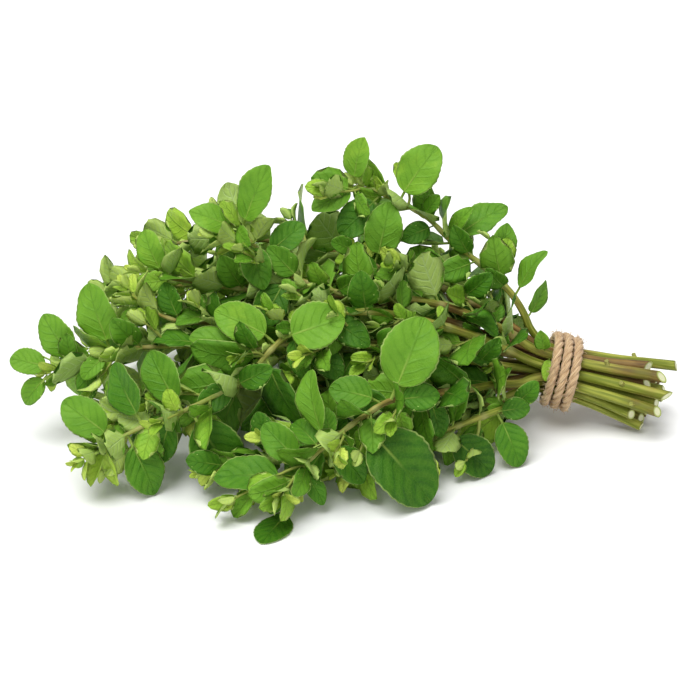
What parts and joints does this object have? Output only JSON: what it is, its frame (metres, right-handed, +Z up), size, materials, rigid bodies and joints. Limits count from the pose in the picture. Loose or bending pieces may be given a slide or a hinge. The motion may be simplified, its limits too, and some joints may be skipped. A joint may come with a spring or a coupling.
{
  "type": "oregano bundle",
  "caption": "Bunch of fresh leafy oregano sprigs tied near the cut ends with turns of jute twine, lying on its side.",
  "frame": {"origin": "middle of the bundle's foot, on the surface it lies on", "axes": "+X along the bundle towards the cut ends, +Y to its back, +Z up"},
  "size_m": [0.2254, 0.154, 0.0962],
  "materials": {
    "leaf": "satin",
    "stem": "satin",
    "twine": "matte"
  },
  "bodies": {
    "root": {"sprig_01_leaf_1": "leaf", "sprig_01_leaf_2": "leaf", "sprig_01_leaf_3": "leaf", "sprig_01_leaf_4": "leaf", "sprig_01_leaf_5": "leaf", "sprig_01_leaf_6": "leaf", "sprig_01_leaf_7": "leaf", "sprig_01_stem": "stem", "sprig_02_leaf_1": "leaf", "sprig_02_leaf_2": "leaf", "sprig_02_leaf_3": "leaf", "sprig_02_stem": "stem", "sprig_03_leaf_1": "leaf", "sprig_03_leaf_2": "leaf", "sprig_03_leaf_3": "leaf", "sprig_03_leaf_4": "leaf", "sprig_03_leaf_5": "leaf", "sprig_03_stem": "stem", "sprig_04_leaf_1": "leaf", "sprig_04_leaf_2": "leaf", "sprig_04_leaf_3": "leaf", "sprig_04_leaf_4": "leaf", "sprig_04_leaf_5": "leaf", "sprig_04_leaf_6": "leaf", "sprig_04_leaf_7": "leaf", "sprig_04_stem": "stem", "sprig_05_leaf_1": "leaf", "sprig_05_leaf_2": "leaf", "sprig_05_leaf_3": "leaf", "sprig_05_leaf_4": "leaf", "sprig_05_leaf_5": "leaf", "sprig_05_leaf_6": "leaf", "sprig_05_leaf_7": "leaf", "sprig_05_stem": "stem", "sprig_06_leaf_1": "leaf", "sprig_06_leaf_2": "leaf", "sprig_06_stem": "stem", "sprig_07_stem": "stem", "sprig_08_leaf_1": "leaf", "sprig_08_leaf_2": "leaf", "sprig_08_leaf_3": "leaf", "sprig_08_stem": "stem", "sprig_09_leaf_1": "leaf", "sprig_09_stem": "stem", "sprig_10_stem": "stem", "sprig_11_stem": "stem", "sprig_12_leaf_1": "leaf", "sprig_12_stem": "stem", "sprig_13_leaf_1": "leaf", "sprig_13_leaf_2": "leaf", "sprig_13_stem": "stem", "sprig_14_leaf_1": "leaf", "sprig_14_stem": "stem", "sprig_15_stem": "stem", "sprig_16_stem": "stem", "sprig_17_stem": "stem", "sprig_18_stem": "stem", "sprig_19_stem": "stem", "twine_knot": "twine", "twine_turns": "twine"}
  },
  "joints": []
}
